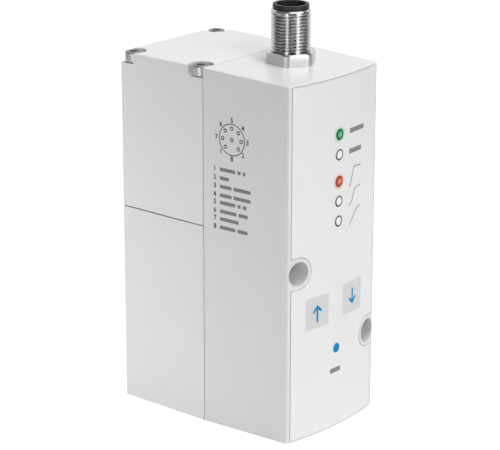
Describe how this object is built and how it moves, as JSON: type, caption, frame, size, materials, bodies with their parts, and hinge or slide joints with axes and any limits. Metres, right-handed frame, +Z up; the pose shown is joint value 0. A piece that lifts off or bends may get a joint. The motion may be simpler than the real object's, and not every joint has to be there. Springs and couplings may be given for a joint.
{
  "type": "electro pneumatic regulator",
  "caption": "Flange mounted electro pneumatic pressure regulator with a curved keypad panel, lamp lenses and a round plug on top.",
  "frame": {"origin": "centre of the bounding box's bottom face, on the flat underside", "axes": "front panel towards -Y, flange face towards +Y, +X to the right seen from the front, +Z up along the plug"},
  "size_m": [0.044, 0.0672, 0.1292],
  "materials": {
    "housing_plastic": "fine matt moulded",
    "foil": "satin printed foil",
    "valve_paint": "fine matt powder coat",
    "pilot_plastic": "fine matt moulded",
    "seal_rubber": "matt",
    "lens_green": "lit lens",
    "lens_red": "lit lens",
    "lens_clear": "unlit lens",
    "black_plastic": "matt",
    "insert_plastic": "matt",
    "board": "solder resist",
    "nickel": "nickel plated",
    "gold": "gold plated",
    "screw_steel": "zinc plated",
    "valve_aluminium": "turned",
    "spring_steel": "drawn wire",
    "valve_brass": "turned",
    "armature_steel": "ground",
    "coil_copper": "enamelled winding",
    "sensor_steel": "drawn can"
  },
  "bodies": {
    "regulator": {"electronics_housing": "housing_plastic", "front_foil": "foil", "valve_body": "valve_paint", "pilot_housing": "pilot_plastic", "housing_gasket": "seal_rubber", "connector_seal": "seal_rubber", "body_seal": "seal_rubber", "port_seal_exhaust": "seal_rubber", "port_seal_supply": "seal_rubber", "port_seal_outlet": "seal_rubber", "plug_seal": "seal_rubber", "light_pipe_power": "lens_green", "light_pipe_mode_1": "lens_red", "light_pipe_error": "lens_clear", "light_pipe_mode_2": "lens_clear", "light_pipe_mode_3": "lens_clear", "key_switch_up": "black_plastic", "key_switch_down": "black_plastic", "key_switch_edit": "black_plastic", "connector_insert": "insert_plastic", "circuit_board": "board", "connector_shell": "nickel", "connector_nut": "nickel", "contact_pin_1": "gold", "contact_pin_2": "gold", "contact_pin_3": "gold", "contact_pin_4": "gold", "contact_pin_5": "gold", "contact_pin_6": "gold", "contact_pin_7": "gold", "contact_pin_8": "gold", "corner_screw_front_left": "screw_steel", "corner_screw_front_right": "screw_steel", "corner_screw_rear_left": "screw_steel", "corner_screw_rear_right": "screw_steel", "housing_screw_lower_left": "screw_steel", "housing_screw_lower_right": "screw_steel", "housing_screw_upper_left": "screw_steel", "housing_screw_upper_right": "screw_steel", "bottom_plug": "valve_aluminium", "stem_guide": "valve_aluminium", "retaining_ring": "spring_steel", "poppet_spring": "spring_steel", "pilot_spring_1": "spring_steel", "pilot_spring_2": "spring_steel", "pilot_valve_1": "valve_brass", "pilot_valve_2": "valve_brass", "pilot_coil_1": "coil_copper", "pilot_coil_2": "coil_copper", "pressure_sensor_outlet": "sensor_steel", "pressure_sensor_pilot": "sensor_steel"},
    "key_up": {"key_pusher_up": "black_plastic"},
    "key_down": {"key_pusher_down": "black_plastic"},
    "key_edit": {"key_pusher_edit": "black_plastic"},
    "poppet": {"inlet_poppet": "valve_brass"},
    "piston": {"control_piston": "valve_aluminium", "piston_seal": "seal_rubber"},
    "armature_1": {"pilot_armature_1": "armature_steel"},
    "armature_2": {"pilot_armature_2": "armature_steel"}
  },
  "joints": [
    {"name": "key_up_press", "type": "slide", "parent": "regulator", "child": "key_up", "axis": [0, 1, 0], "range_m": [0, 0.0003], "stiffness_N_per_m": 800},
    {"name": "key_down_press", "type": "slide", "parent": "regulator", "child": "key_down", "axis": [0, 1, 0], "range_m": [0, 0.0003], "stiffness_N_per_m": 800},
    {"name": "key_edit_press", "type": "slide", "parent": "regulator", "child": "key_edit", "axis": [0, 1, 0], "range_m": [0, 0.0003], "stiffness_N_per_m": 800},
    {"name": "poppet_open", "type": "slide", "parent": "regulator", "child": "poppet", "axis": [0, 0, -1], "range_m": [0, 0.0015], "stiffness_N_per_m": 3000, "deforming": ["poppet_spring"]},
    {"name": "piston_lift", "type": "slide", "parent": "poppet", "child": "piston", "axis": [0, 0, 1], "range_m": [0, 0.0008]},
    {"name": "pilot_valve_1_open", "type": "slide", "parent": "regulator", "child": "armature_1", "axis": [0, 0, 1], "range_m": [0, 0.0005], "stiffness_N_per_m": 300, "deforming": ["pilot_spring_1"]},
    {"name": "pilot_valve_2_open", "type": "slide", "parent": "regulator", "child": "armature_2", "axis": [0, 0, 1], "range_m": [0, 0.0005], "stiffness_N_per_m": 300, "deforming": ["pilot_spring_2"]}
  ]
}
